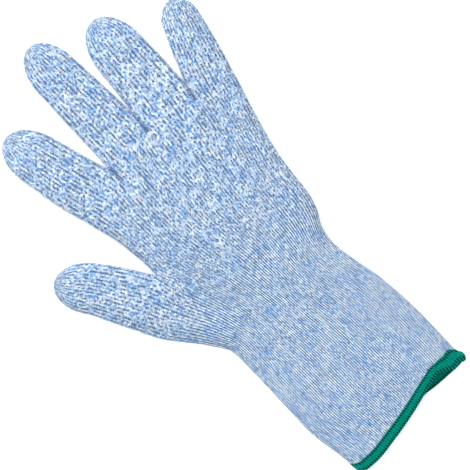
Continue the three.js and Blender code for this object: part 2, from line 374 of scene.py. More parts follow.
def curve(knots, points, at):
    """A smooth curve through points at knots, evaluated at the values in at."""
    knots = np.asarray(knots, float)
    points = np.asarray(points, float)
    at = np.asarray(at, float)
    slope = np.gradient(points, knots, axis=0)
    i = np.clip(np.searchsorted(knots, at, side="right") - 1, 0, len(knots) - 2)
    step = knots[i + 1] - knots[i]
    t = (at - knots[i]) / step
    if points.ndim == 2:
        t, step = t[:, None], step[:, None]
    return (
        (2 * t**3 - 3 * t**2 + 1) * points[i]
        + (t**3 - 2 * t**2 + t) * step * slope[i]
        + (3 * t**2 - 2 * t**3) * points[i + 1]
        + (t**3 - t**2) * step * slope[i + 1]
    )


def lengths(points):
    """Length along a line of points, from its first."""
    steps = np.linalg.norm(np.diff(points, axis=0), axis=1)
    return np.concatenate([[0], np.cumsum(steps)])


def evenly(points, count, first=0):
    """count + 1 points, evenly spaced along a smooth curve through points, from the point numbered first."""
    points = np.asarray(points, float)
    knots = lengths(points)
    fine = curve(knots, points, np.linspace(knots[first], knots[-1], LINE_SAMPLES))
    along = lengths(fine)
    at = np.linspace(0, along[-1], count + 1)
    return np.stack([np.interp(at, along, fine[:, k]) for k in range(2)], axis=1)


def noise(x, y, seed):
    """Smooth value noise of two coordinates, from -1 to 1."""
    table = np.random.default_rng(seed).uniform(-1, 1, (NOISE_SIZE, NOISE_SIZE))
    ix, iy = np.floor(x).astype(int), np.floor(y).astype(int)
    fx, fy = smoothstep(x - ix), smoothstep(y - iy)
    left, right = ix % NOISE_SIZE, (ix + 1) % NOISE_SIZE
    low, high = iy % NOISE_SIZE, (iy + 1) % NOISE_SIZE
    a, b = table[left, low], table[right, low]
    c, d = table[left, high], table[right, high]
    return (a * (1 - fx) + b * fx) * (1 - fy) + (c * (1 - fx) + d * fx) * fy


# ---------------------------------------------------------------- the smooth shape of the glove
def swell(distance, reach):
    """Share of full height at a distance from a rolled edge."""
    inside = np.clip(1 - distance / reach, 0, 1)
    return (1 - inside**ROUNDNESS) ** (1 / ROUNDNESS)


def spread(width, columns, rise=ROLL):
    """Distances from the left edge of evenly spaced columns that lie over both rolled edges."""
    reach = min(REACH, width / 2)
    x = reach * (1 - np.cos(np.linspace(0, math.pi / 2, EDGE_SAMPLES)) ** (2 / ROUNDNESS))
    x[-1] = reach
    arc = lengths(np.stack([x, rise * swell(x, reach)], axis=1))
    half = arc[-1] + width / 2 - reach
    along = np.linspace(0, 2 * half, columns + 1)
    near = np.minimum(along, 2 * half - along)
    distance = np.where(near < arc[-1], np.interp(near, arc, x), reach + near - arc[-1])
    return np.where(along <= half, distance, width - distance)


def height_at(y):
    return np.interp(y, HEIGHT_Y, HEIGHT)


def ring(top_xy, edge_distance, reach, height, pinch=1.0, under_xy=None):
    """One row round the glove: its front from left to right, then its back from right to left."""
    share = swell(edge_distance, reach) * pinch
    under = swell(edge_distance, min(UNDER_REACH, reach)) * pinch
    xy = top_xy if under_xy is None else under_xy
    top = np.column_stack([top_xy, EDGE_Z + (height - EDGE_Z) * share])
    back = np.column_stack([xy, EDGE_Z - (EDGE_Z - UNDER_Z) * under])
    return np.concatenate([top, back[-2:0:-1]])


def cuff_row(above, columns=WALES * COLUMNS):
    """The row at that height above the hem's lower edge. It follows the hem's curves near the hem."""
    flat_y = CUFF_START_Y + above
    fade = 1 - smoothstep(above / CURVE_FADE)
    side_y = flat_y + SIDE_SHIFT * fade
    left = float(curve(LEFT_Y, LEFT_X, [side_y])[0])
    right = float(curve(RIGHT_Y, RIGHT_X, [side_y])[0])
    distance = spread(right - left, columns)
    x = left + distance
    front_y = flat_y + fade * (curve(FRONT_EDGE_X, FRONT_EDGE_Y, x) - LOWEST_EDGE_Y)
    back_y = flat_y + fade * (curve(BACK_EDGE_X, BACK_EDGE_Y, x) - LOWEST_EDGE_Y)
    edge = np.minimum(distance, right - left - distance)
    close = smoothstep(edge / LAYERS_MEET)
    middle_y = (front_y + back_y) / 2
    front_y = middle_y + (front_y - middle_y) * close
    back_y = middle_y + (back_y - middle_y) * close
    front_xy = np.column_stack([x, front_y])
    back_xy = np.column_stack([x, back_y])
    row = ring(front_xy, edge, REACH, height_at(flat_y), under_xy=back_xy)
    gape = fade * GAPE_RISE * np.exp(-(((x - GAPE_X) / GAPE_WIDTH) ** 2)) * swell(edge, REACH)
    row[: columns + 1, 2] += gape
    return row


def fan_row(points, stops, apart):
    """Columns of one row of the palm's front, through guide points at the wales in stops.

    apart, one value for each stop, is how far the fabric has already gathered into separate digits there.
    Returns positions across and the distance from the two outer edges."""
    points = np.asarray(points, float)
    columns = (stops[-1] - stops[0]) * COLUMNS
    at = (np.asarray(stops) - stops[0]) * COLUMNS
    chord = lengths(points)
    distance = spread(chord[-1], columns)
    smooth_part = distance / chord[-1]
    smooth = curve(smooth_part[at], points, smooth_part)
    split = np.empty_like(smooth)
    weight = np.zeros(columns + 1)
    for k in range(len(stops) - 1):
        span = slice(at[k], at[k + 1] + 1)
        width = np.linalg.norm(points[k + 1] - points[k])
        part = spread(width, at[k + 1] - at[k]) / width
        split[span] = points[k] + part[:, None] * (points[k + 1] - points[k])
        ease = np.linspace(0, 1, at[k + 1] - at[k] + 1)
        weight[span] = apart[k] * (1 - ease) + apart[k + 1] * ease
    xy = smooth + weight[:, None] * (split - smooth)
    return xy, np.minimum(distance, chord[-1] - distance)


def crotch_pinch(xy, crotches):
    """How far the fabric dips towards the points where digits part."""
    share = np.ones(len(xy))
    for x, y in crotches:
        away = np.hypot(xy[:, 0] - x, DIP_SHORTER * (xy[:, 1] - y))
        share *= swell(away, DIP)
    return share


def cuff_and_gusset():
    """Rows from the hem to the row where the thumb parts from the palm."""
    heights = np.linspace(KNIT_START, WRIST_Y - CUFF_START_Y, CUFF_COURSES + 1)
    rows = [cuff_row(above) for above in heights]
    before = [rows[-6], rows[-1]]
    starts = [[row[stop * COLUMNS][:2] for row in before] for stop in STOPS]
    lines = [THUMB_OUTER, THUMB_INNER, *BETWEEN_WALES, LITTLE_OUTER]
    total = GUSSET_COURSES + PALM_COURSES
    guides = []
    for k, (start, line) in enumerate(zip(starts, lines)):
        count = GUSSET_COURSES if k < 2 else total
        guides.append(evenly([*start, *line], count, first=1))
    index_outer = evenly(INDEX_OUTER, PALM_COURSES)
    for j in range(1, GUSSET_COURSES + 1):
        points = [guide[j] for guide in guides]
        to_crotch = GUSSET_COURSES - j
        near = smoothstep(1 - to_crotch / THUMB_GATHER_COURSES)
        apart = [1, near, 0, 0, 0, 1] if to_crotch < THUMB_GATHER_COURSES else [0] * len(STOPS)
        xy, edge = fan_row(points, STOPS, apart)
        rows.append(ring(xy, edge, REACH, height_at(xy[:, 1]), crotch_pinch(xy, [THUMB_CROTCH])))
    upper = []
    stops = STOPS[1:]
    for j in range(PALM_COURSES + 1):
        points = [index_outer[j]] + [guide[GUSSET_COURSES + j] for guide in guides[2:]]
        near = smoothstep(1 - (PALM_COURSES - j) / FINGER_GATHER_COURSES)
        xy, edge = fan_row(points, stops, [near] * len(stops))
        upper.append(ring(xy, edge, REACH, height_at(xy[:, 1]), crotch_pinch(xy, CROTCHES)))
    return np.array(rows), np.array(upper)


def digit(name, left, right):
    """Rows of one digit, from its root between two points of the palm, and the courses it is split at."""
    courses, stations, tip, rounding = DIGITS[name]
    tip = np.array(tip)
    last = np.array(stations[-1][:2])
    heading = (tip - last) / np.linalg.norm(tip - last)
    shoulder = tip - heading * rounding
    left, right = np.array(left), np.array(right)
    centres = [(left + right) / 2] + [np.array(s[:2]) for s in stations[:-1]]
    halves = [np.linalg.norm(right - left) / 2] + [s[2] for s in stations[:-1]]
    if np.linalg.norm(shoulder - last) > STATION_GAP:
        centres.append(last)
        halves.append(stations[-1][2])
    centres.append(shoulder)
    halves.append(stations[-1][2])
    knots = lengths(np.array(centres))
    across = right - left
    root_turn = math.atan2(across[1], across[0])
    end_turn = math.atan2(-heading[0], heading[1])
    bend = np.linspace(0, math.pi / 2, TIP_SAMPLES)
    body = knots[-1]
    s = np.concatenate([np.linspace(0, body, BODY_SAMPLES), body + rounding * np.sin(bend[1:])])
    narrow = np.concatenate([np.ones(BODY_SAMPLES), np.cos(bend[1:])])
    keep = narrow > TIP_END
    s, narrow = s[keep], narrow[keep]
    path = lengths(np.stack([s, TIP_SPACING * halves[-1] * narrow], axis=1))
    at = np.linspace(0, path[-1], courses + 1)
    s, narrow = np.interp(at, path, s), np.interp(at, path, narrow)
    rows = []
    for along, share in zip(s, narrow):
        inside = min(along, body)
        centre = curve(knots, centres, [inside])[0] + heading * max(along - body, 0)
        half = float(curve(knots, np.array(halves), [inside])[0]) * share
        near_root = 1 - smoothstep(along / ROOT_LENGTH)
        turn = root_turn + (end_turn - root_turn) * smoothstep(along / ROOT_LENGTH)
        side = np.array([math.cos(turn), math.sin(turn)])
        distance = spread(2 * half, WALES_OF[name] * COLUMNS, rise=ROLL * share)
        xy = centre + (distance - half)[:, None] * side
        closing = np.interp(along, SLIT_ALONG, SLIT_SHARE)
        at_left = smoothstep(1 - distance / half) * SLITS[name][0]
        at_right = smoothstep(distance / half - 1) * SLITS[name][1]
        xy = xy + (closing * (at_right - at_left))[:, None] * side
        steep = [1 + near_root * (TOUCHING_STEEPNESS if lean else 0.0) for lean in SLITS[name]]
        edge = np.minimum(distance * steep[0], (2 * half - distance) * steep[1])
        rows.append(ring(xy, edge, min(REACH, half), EDGE_Z + (height_at(centre[1]) - EDGE_Z) * share))
        under = rows[-1][WALES_OF[name] * COLUMNS + 1 :]
        under[:, 2] = EDGE_Z - (EDGE_Z - under[:, 2]) * (TIP_DEPTH + WIDTH_DEPTH * share)
    splits = [int(np.argmin(np.abs(s - split))) for split in SPLITS[name]]
    return np.array(rows), splits


# ---------------------------------------------------------------- stitches
def normals(rows):
    """Outward normals of rings of points."""
    along = np.gradient(rows, axis=0)
    across = np.roll(rows, -1, axis=1) - np.roll(rows, 1, axis=1)
    normal = np.cross(across, along)
    return normal / np.maximum(np.linalg.norm(normal, axis=2, keepdims=True), 1e-9)


def softness(points):
    """The slight unevenness of empty cloth, in mm, at points of the front."""
    x, y = points[..., 0], points[..., 1]
    uneven = 0
    for number, (height, size_x, size_y, start) in enumerate(UNEVEN):
        uneven = uneven + height * noise(x / size_x + start, y / size_y + start, SEED + number)
    gathers = 0
    for gx, gy, width, length, depth in GATHERS:
        gathers = gathers + depth * np.exp(-(((x - gx) / width) ** 2) - ((y - gy) / length) ** 2)
    lift = smoothstep((points[..., 2] - EDGE_Z) / LIFT)
    return (uneven + gathers) * lift


class Fabric:
    """Stitches over a smooth shape: an outer grid of COLUMNS x 2 points a stitch, and a plain inner one."""

    def __init__(self, base, first_course, first_row=None, crotches=(), fade_end=False, first_wale=0):
        courses = len(base) - 1
        width = base.shape[1]
        column = np.arange(width)
        rows = np.arange(2 * courses + 1)
        course = np.clip(rows[:, None] / 2 - SAG[column % COLUMNS][None, :], 0, courses)
        low = np.minimum(np.floor(course).astype(int), courses - 1)
        part = (course - low)[..., None]
        smooth = base[low, column] * (1 - part) + base[low + 1, column] * part
        out = normals(base)
        normal = out[low, column] * (1 - part) + out[low + 1, column] * part
        ridge = (rows % 2 == 0)[:, None]
        relief = np.where(ridge, RIDGE_RELIEF[column % COLUMNS], VALLEY_RELIEF[column % COLUMNS])
        stitch = np.random.default_rng(SEED + first_course + first_wale)
        vary = stitch.normal(0, 1, (courses + 2, width // COLUMNS + 1))
        relief = relief * (1 + RELIEF_VARIES * vary[(rows // 2)[:, None], (column // COLUMNS)[None, :]])
        pitch = np.linalg.norm(np.roll(smooth, -1, axis=1) - smooth, axis=2) * COLUMNS
        relief = relief * np.clip(pitch / FULL_RELIEF_WIDTH, *RELIEF_LIMITS)
        calm = np.ones(smooth.shape[:2])
        for x, y in crotches:
            calm *= smoothstep(np.hypot(smooth[..., 0] - x, smooth[..., 1] - y) / CALM)
        self.outer = smooth + normal * (relief * calm)[..., None]
        self.outer[..., 2] += softness(smooth) * calm
        self.outer[..., 2] = np.maximum(self.outer[..., 2], LOWEST_Z)
        self.first_course = first_course
        self.first_wale = first_wale
        thick = np.ones(base.shape[:2])
        for x, y in crotches:
            thick *= smoothstep(np.hypot(base[..., 0] - x, base[..., 1] - y) / THIN_NEAR_CROTCH)
        if fade_end:
            fading = smoothstep((courses - np.arange(courses + 1)) / THIN_COURSES)[:, None]
            thick *= fading * (1 - THINNEST) + THINNEST
        inner = base - out * (KNIT_THICKNESS * thick)[..., None]
        inner[..., 2] += softness(base) * thick
        self.inner = inner[:, ::COLUMNS]
        if first_row is not None:
            self.outer[0], self.inner[0] = first_row

    def last_row(self, start, stop):
        """The ring that a digit takes over from this fabric: the wales of both sides from start to stop."""
        borders = []
        for row, columns in ((self.outer[-1], COLUMNS), (self.inner[-1], 1)):
            a, b = start * columns, stop * columns
            borders.append(np.concatenate([row[a : b + 1], row[len(row) - b + 1 : len(row) - a]]))
        return tuple(borders)


class Builder:
    """Gathers points and faces of one piece, then welds points that coincide."""

    def __init__(self):
        self.points = []
        self.uv = []
        self.faces = []
        self.rims = []
        self.count = 0

    def add(self, points, uv):
        points = np.asarray(points).reshape(-1, 3)
        index = np.arange(self.count, self.count + len(points))
        self.points.append(points)
        self.uv.append(np.asarray(uv, float).reshape(-1, 2))
        self.count += len(points)
        return index

    def grid(self, index, inward=False):
        """Faces between rings of points: index is rows x columns, closed round."""
        a = index[:-1]
        b = np.roll(index, -1, axis=1)[:-1]
        c = np.roll(index, -1, axis=1)[1:]
        d = index[1:]
        quads = np.stack([a, b, c, d], axis=-1).reshape(-1, 4)
        if inward:
            quads = quads[:, ::-1]
        self.faces.extend(map(tuple, quads.tolist()))

    def rim(self, outer, inner, upper):
        """Joins the outer skin's border ring to the inner skin's, which has fewer points."""
        per = len(outer) // len(inner)
        for k in range(len(inner)):
            line = [int(outer[(k * per + i) % len(outer)]) for i in range(per + 1)]
            face = line + [int(inner[(k + 1) % len(inner)]), int(inner[k])]
            self.rims.append(tuple(face if upper else face[::-1]))

    def mesh(self, name):
        """The welded mesh, with smooth knit and flat rims."""
        points = np.concatenate(self.points)
        uv = np.concatenate(self.uv)
        keys = np.round(points, WELD_DECIMALS)
        _, first, back = np.unique(keys, axis=0, return_index=True, return_inverse=True)
        back = back.reshape(-1)
        order = np.argsort(first)
        rank = np.empty(len(order), int)
        rank[order] = np.arange(len(order))
        back = rank[back]
        welded = points[first[order]]
        faces, corners, smooth = [], [], []
        for number, face in enumerate(self.faces + self.rims):
            kept, corner = [], []
            for i in face:
                if back[i] not in kept:
                    kept.append(int(back[i]))
                    corner.append(i)
            if len(kept) > 2:
                faces.append(kept)
                smooth.append(number < len(self.faces))
                corners.extend(corner)
        mesh = bpy.data.meshes.new(name)
        mesh.from_pydata((welded * MM).tolist(), [], faces)
        layer = mesh.uv_layers.new(name="stitch")
        layer.data.foreach_set("uv", uv[corners].astype(np.float32).ravel())
        mesh.polygons.foreach_set("use_smooth", smooth)
        mesh.update()
        return mesh


def stitch_uv(fabric, rows, inner=False):
    """Wale and course numbers of the fabric's points, over a range of courses."""
    grid = fabric.inner if inner else fabric.outer
    per = 1 if inner else COLUMNS
    width = grid.shape[1]
    column = np.arange(width) / per
    half = width / per / 2
    wale = fabric.first_wale + np.minimum(column, 2 * half - column) + BACK_WALE * (column > half)
    course = fabric.first_course + rows / (1 if inner else 2)
    return np.stack(np.meshgrid(wale, course), axis=-1)


def tube(builder, fabric, start, stop, cap=False):
    """Adds the fabric between two courses. Returns its (outer, inner) border rings at the start and stop."""
    outer_rows = np.arange(2 * start, 2 * stop + 1)
    inner_rows = np.arange(start, stop + 1)
    outer = fabric.outer[outer_rows]
    inner = fabric.inner[inner_rows]
    outer_index = builder.add(outer, stitch_uv(fabric, outer_rows)).reshape(outer.shape[:2])
    inner_index = builder.add(inner, stitch_uv(fabric, inner_rows, True)).reshape(inner.shape[:2])
    builder.grid(outer_index)
    builder.grid(inner_index, inward=True)
    if cap:
        builder.faces.append(tuple(outer_index[-1].tolist()))
        builder.faces.append(tuple(inner_index[-1][::-1].tolist()))
    return (outer_index[0], inner_index[0]), (outer_index[-1], inner_index[-1])


def add_piece(name, builder, material, stands_for=()):
    piece = bpy.data.objects.new(name, builder.mesh(name))
    bpy.context.collection.objects.link(piece)
    piece.data.materials.append(material)
    if stands_for:
        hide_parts(*stands_for)
    return piece


# ---------------------------------------------------------------- materials
class Nodes:
    """A short way to write a material's nodes."""

    def __init__(self, name):
        self.material = bpy.data.materials.new(name)
        self.material.use_nodes = True
        self.tree = self.material.node_tree
        self.shader = self.tree.nodes["Principled BSDF"]

    def new(self, kind, settings=None, **inputs):
        """A node with its settings and inputs. An input is given by its name, or as i0, i1 by its number."""
        node = self.tree.nodes.new(kind)
        for key, value in (settings or {}).items():
            setattr(node, key, value)
        for key, value in inputs.items():
            number = key[1:] if key[0] == "i" else ""
            self.put(node.inputs[int(number) if number.isdigit() else key], value)
        return node

    def put(self, socket, value):
        if isinstance(value, bpy.types.NodeSocket):
            self.tree.links.new(value, socket)
        else:
            socket.default_value = value

    def math(self, operation, a, b=0.0):
        return self.new("ShaderNodeMath", {"operation": operation}, i0=a, i1=b).outputs[0]

    def range(self, value, low, high, to_low=0.0, to_high=1.0):
        node = self.new("ShaderNodeMapRange", {"clamp": True}, Value=value)
        for socket, number in zip(("From Min", "From Max", "To Min", "To Max"), (low, high, to_low, to_high)):
            node.inputs[socket].default_value = number
        return node.outputs[0]

    def mix(self, factor, a, b):
        node = self.new("ShaderNodeMix", {"data_type": "RGBA"}, Factor=factor)
        self.put(node.inputs[6], a)
        self.put(node.inputs[7], b)
        return node.outputs[2]

    def noise(self, vector, scale, detail, roughness):
        inputs = {"Vector": vector, "Scale": scale, "Detail": detail, "Roughness": roughness}
        return self.new("ShaderNodeTexNoise", **inputs).outputs[0]

    def random(self, cell):
        return self.new("ShaderNodeTexWhiteNoise", {"noise_dimensions": "2D"}, Vector=cell).outputs["Value"]

    def set(self, **values):
        """Uniform values of the shader. An underscore stands for a space in a socket's name."""
        for key, value in values.items():
            self.shader.inputs[key.replace("_", " ")].default_value = value

    def finish(self, colour, bump_strength, bump_height):
        """Connects the colour and a bump map, and returns the material."""
        self.put(self.shader.inputs["Base Color"], colour)
        inputs = {"Strength": bump_strength, "Distance": BUMP_HEIGHT, "Height": bump_height}
        self.put(self.shader.inputs["Normal"], self.new("ShaderNodeBump", **inputs).outputs[0])
        return self.material


def linear(red, green, blue):
    """A linear colour from sRGB values of 0 to 255."""
    colour = []
    for value in (red / 255, green / 255, blue / 255):
        colour.append(value / 12.92 if value <= 0.04045 else ((value + 0.055) / 1.055) ** 2.4)
    return (*colour, 1.0)


def gap_shade_dashes(n, at, course, shift, seed, dash_end=0.5, faintest=0.2):
    """Painted shade: dark dashes between legs, from 0 to 1, on a line at every whole number of at.

    shift is how many courses each line's dashes are offset from its neighbour's."""
    index = n.math("FLOOR", n.math("ADD", at, 0.5))
    across = n.math("ABSOLUTE", n.math("SUBTRACT", at, index))
    shifted = n.math("ADD", course, n.math("MULTIPLY", index, shift))
    along = n.math("ABSOLUTE", n.math("SUBTRACT", n.math("FRACT", shifted), 0.5))
    row = n.math("FLOOR", shifted)
    cell = n.new("ShaderNodeCombineXYZ", X=n.math("ADD", index, seed), Y=row).outputs[0]
    strength = n.random(cell)
    dash = n.math("MULTIPLY", n.range(across, *GAP_SHADE_EDGE), n.range(along, 0.50, 0.22, dash_end, 1.0))
    return n.math("MULTIPLY", dash, n.range(strength, 0.0, 0.85, faintest, 1.0))


def knit_material():
    """Marled yarn, blue and white, with painted shade in the gaps between its stitches."""
    n = Nodes("knit_yarn")
    uv = n.new("ShaderNodeUVMap", {"uv_map": "stitch"}).outputs[0]
    parts = n.new("ShaderNodeSeparateXYZ", Vector=uv)
    wale, course = parts.outputs[0], parts.outputs[1]
    place = n.new("ShaderNodeTexCoord").outputs["Object"]
    leg = n.math("FLOOR", n.math("MULTIPLY", wale, 2.0))
    row = n.math("FLOOR", n.math("ADD", course, 0.25))
    cell = n.new("ShaderNodeCombineXYZ", X=leg, Y=row).outputs[0]
    each = n.random(cell)
    # The two yarns, blue and white, wind round each other along the course.
    stretched = n.new("ShaderNodeVectorMath", {"operation": "MULTIPLY"}, i0=uv, i1=WINDING_SCALE).outputs[0]
    winding = n.noise(stretched, 1.0, 2.0, 0.6)
    patches = n.noise(uv, PATCH_SCALE, 2.0, 0.55)
    wound = n.math("MULTIPLY", n.range(winding, 0.36, 0.64), WINDING_SHARE)
    blend = n.math("ADD", wound, n.math("MULTIPLY", each, LEG_SHARE))
    blend = n.math("ADD", blend, n.range(patches, 0.35, 0.65, -0.06, 0.06))
    colour = n.mix(n.range(blend, 0.20, 0.72), linear(*BLUE_YARN), linear(*WHITE_YARN))
    # A few legs show more of one fibre: lilac white or clear blue.
    elsewhere = (17.0, 71.0, 0.0)
    other = n.random(n.new("ShaderNodeVectorMath", {"operation": "ADD"}, i0=cell, i1=elsewhere).outputs[0])
    colour = n.mix(n.range(other, 0.80, 0.90, 0.0, 0.75), colour, linear(*LILAC_YARN))
    colour = n.mix(n.range(other, 0.16, 0.06, 0.0, 0.75), colour, linear(*CLEAR_YARN))
    # Painted shade in the gaps: dark dashes between the wales, and fainter ones in the middle of each
    # stitch's V, half a course on. In the drawn-in cuff neighbouring lines of dashes lie half a course apart.
    deeper = n.mix(n.range(patches, 0.40, 0.62), linear(*GAP_SHADE_BLUE), linear(*SHADE_YARN))
    drawn_in = n.range(course, *CUFF_TO_PALM)
    between = gap_shade_dashes(n, wale, course, 0.0, 0.0)
    middle = gap_shade_dashes(n, n.math("ADD", wale, 0.5), n.math("ADD", course, 0.5), 0.0, 300.0)
    cuff_gap_shade = gap_shade_dashes(n, wale, course, 0.5, 600.0, 0.8, 0.5)
    palm_gap_shade = n.math("MAXIMUM", between, n.math("MULTIPLY", middle, MIDDLE_GAP_SHADE))
    gaps = n.math("MULTIPLY", palm_gap_shade, drawn_in)
    gaps = n.math("ADD", gaps, n.math("MULTIPLY", cuff_gap_shade, n.math("SUBTRACT", 1.0, drawn_in)))
    # Painted shade: the gaps darken to the shade colours, and their darkest parts to near black.
    colour = n.mix(n.range(gaps, 0.0, 0.8), colour, deeper)
    colour = n.mix(n.range(gaps, 0.6, 1.0, 0.0, 0.8), colour, linear(*HOLE_SHADE))
    fibre = n.noise(place, FIBRE_SCALE, 3.0, 0.7)
    colour = n.mix(n.range(fibre, 0.35, 0.7, 0.0, 0.18), colour, linear(*FIBRE_WHITE))
    n.set(Roughness=0.88, Specular_IOR_Level=0.25)
    n.set(Sheen_Weight=0.25, Sheen_Roughness=0.5, Sheen_Tint=linear(*SHEEN))
    twist = n.new("ShaderNodeTexWave", {"bands_direction": "DIAGONAL"}, Vector=uv, Scale=3.2, Distortion=1.2)
    twisted = n.math("MULTIPLY", twist.outputs["Fac"], 0.6)
    return n.finish(colour, 0.35, n.math("ADD", twisted, n.math("MULTIPLY", fibre, 0.5)))


def elastic_material():
    """White thread that wraps round the elastic yarn, with painted shade in the gaps between its wraps."""
    n = Nodes("elastic_yarn")
    uv = n.new("ShaderNodeUVMap", {"uv_map": "stitch"}).outputs[0]
    place = n.new("ShaderNodeTexCoord").outputs["Object"]
    parts = n.new("ShaderNodeSeparateXYZ", Vector=uv)
    gap = n.math("ABSOLUTE", n.math("SUBTRACT", n.math("FRACT", parts.outputs[0]), 0.5))
    fibre = n.noise(place, ELASTIC_FIBRE_SCALE, 3.0, 0.65)
    patch = n.noise(place, ELASTIC_PATCH_SCALE, 2.0, 0.5)
    # Painted shade between the wraps; then random darker patches.
    colour = n.mix(n.range(gap, 0.28, 0.5, 0.0, 0.75), linear(*ELASTIC_YARN), linear(*ELASTIC_DEEP))
    colour = n.mix(n.range(patch, 0.3, 0.7, 0.0, 0.3), colour, linear(*ELASTIC_DEEP))
    n.set(Roughness=0.7, Specular_IOR_Level=0.3, Sheen_Weight=0.15)
    return n.finish(colour, 0.4, fibre)


def hem_material():
    """Green overlock yarn: smooth wraps between two rows of small needle holes, with painted shade between
    the wraps, in the holes and along the lip.
    """
    n = Nodes("hem_yarn")
    uv = n.new("ShaderNodeUVMap", {"uv_map": "stitch"}).outputs[0]
    place = n.new("ShaderNodeTexCoord").outputs["Object"]
    parts = n.new("ShaderNodeSeparateXYZ", Vector=uv)
    across = n.math("ABSOLUTE", n.math("SUBTRACT", n.math("FRACT", parts.outputs[0]), 0.5))
    gap = n.range(across, 0.16, 0.32)
    up = n.math("ABSOLUTE", parts.outputs[1])
    upper = n.range(n.math("ABSOLUTE", n.math("SUBTRACT", up, 0.84)), 0.14, 0.06)
    lower = n.range(n.math("ABSOLUTE", n.math("SUBTRACT", up, 0.22)), 0.14, 0.06)
    lip = n.range(up, 0.14, 0.04)
    holes = n.math("MULTIPLY", gap, n.math("MAXIMUM", n.math("MAXIMUM", upper, lower), lip))
    mottle = n.noise(place, HEM_MOTTLE_SCALE, 2.0, 0.7)
    fibre = n.noise(place, HEM_FIBRE_SCALE, 3.0, 0.65)
    colour = n.mix(n.range(mottle, 0.35, 0.70, 0.0, 0.55), linear(*HEM_YARN), linear(*HEM_DEEP))
    # Painted shade: darker between the loops, near black in the needle holes and along the lip.
    colour = n.mix(n.math("MULTIPLY", gap, 0.22), colour, linear(*HEM_DEEP))
    colour = n.mix(holes, colour, linear(*HEM_HOLE_SHADE))
    n.set(Roughness=0.8, Specular_IOR_Level=0.04)
    return n.finish(colour, 0.4, fibre)


def floor_material():
    """White paper."""
    n = Nodes("paper")
    place = n.new("ShaderNodeTexCoord").outputs["Object"]
    grain = n.noise(place, PAPER_SCALE, 3.0, 0.6)
    n.put(n.shader.inputs["Base Color"], n.mix(n.range(grain, 0.3, 0.7), linear(*PAPER), linear(*WHITE)))
    n.set(Roughness=0.9, Specular_IOR_Level=0.1)
    n.set(Emission_Color=linear(*WHITE), Emission_Strength=LIGHT_TABLE)
    return n.material


# ---------------------------------------------------------------- the knitted pieces
def joint(name):
    """The frame's entry for a joint."""
    for entry in frame["joints"]:
        if entry["name"] == name:
            return entry
    raise KeyError(name)


def bend_over(piece, centre):
    """Bakes the piece's transform into its mesh; the piece is not bent."""
    centre = np.asarray(centre, float)
    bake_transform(piece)


def build_knit(material):
    """The knitted pieces: cuff, wrist, palm, and two or three for each digit."""
    lower, upper = cuff_and_gusset()
    crotches = [THUMB_CROTCH, *CROTCHES]
    trunk = Fabric(lower, 0, crotches=[THUMB_CROTCH])
    palm_start = CUFF_COURSES + GUSSET_COURSES
    after_thumb = trunk.last_row(THUMB_WALES, WALES)
    palm = Fabric(upper, palm_start, after_thumb, crotches, first_wale=THUMB_WALES)

    border = CUFF_COURSES + WRIST_BORDER_COURSES
    pieces = {}
    for name, start, stop in (
        ("cuff_knit", 0, LOWER_CUFF_COURSES),
        ("wrist_knit", LOWER_CUFF_COURSES, border),
    ):
        b = Builder()
        low, high = tube(b, trunk, start, stop)
        b.rim(*low, upper=False)
        b.rim(*high, upper=True)
        pieces[name] = b

    b = Builder()
    low, _ = tube(b, trunk, border, palm_start)
    b.rim(*low, upper=False)
    tube(b, palm, 0, PALM_COURSES)
    rings = [("thumb", trunk, 0, THUMB_WALES)]
    for name in list(DIGITS)[1:]:
        first = FIRST_WALE[name] - THUMB_WALES
        rings.append((name, palm, first, first + FINGER_WALES))
    borders = {}
    for name, fabric, first, last in rings:
        borders[name] = fabric.last_row(first, last)
        outer = b.add(borders[name][0], np.zeros((len(borders[name][0]), 2)))
        inner = b.add(borders[name][1], np.zeros((len(borders[name][1]), 2)))
        b.rim(outer, inner, upper=True)
    pieces["palm_knit"] = b

    for name, (courses, _, _, _) in DIGITS.items():
        outer = borders[name][0]
        base, splits = digit(name, outer[0][:2], outer[WALES_OF[name] * COLUMNS][:2])
        around = [THUMB_CROTCH] if name == "thumb" else CROTCHES + [THUMB_CROTCH]
        first_course = palm_start + (0 if name == "thumb" else PALM_COURSES)
        fabric = Fabric(base, first_course, borders[name], around, True, FIRST_WALE[name])
        cuts = [0, *splits, courses]
        labels = ["root", "joint"] if name == "thumb" else ["knuckle", "middle", "end"]
        for label, start, stop in zip(labels, cuts, cuts[1:]):
            b = Builder()
            low, high = tube(b, fabric, start, stop, cap=stop == courses)
            b.rim(*low, upper=False)
            if stop < courses:
                b.rim(*high, upper=True)
            pieces[f"{name}_{label}_knit"] = b

    stands_for = {
        "cuff_knit": ["cuff_tube"],
        "wrist_knit": ["wrist_gather"],
        "palm_knit": ["palm_shell"],
        "thumb_root_knit": ["thumb_root_ring", "thumb_base_tube"],
        "thumb_joint_knit": ["thumb_joint_ring", "thumb_fingertip"],
    }
    for name in list(DIGITS)[1:]:
        for label, nodes in FINGER_NODES.items():
            stands_for[f"{name}_{label}_knit"] = [f"{name}_{node}" for node in nodes]
    return {name: add_piece(name, b, material, stands_for[name]) for name, b in pieces.items()}


def ride_knit(pieces):
    """Lets the cuff and palm pieces follow their bodies; the other pieces stay where they are built."""
    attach(pieces["cuff_knit"], "cuff")
    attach(pieces["palm_knit"], "palm")
    for name, (joint_name, heading, before, after) in BENDS.items():
        entry = joint(joint_name)
        bend_over(pieces[name], entry["pos_m"])


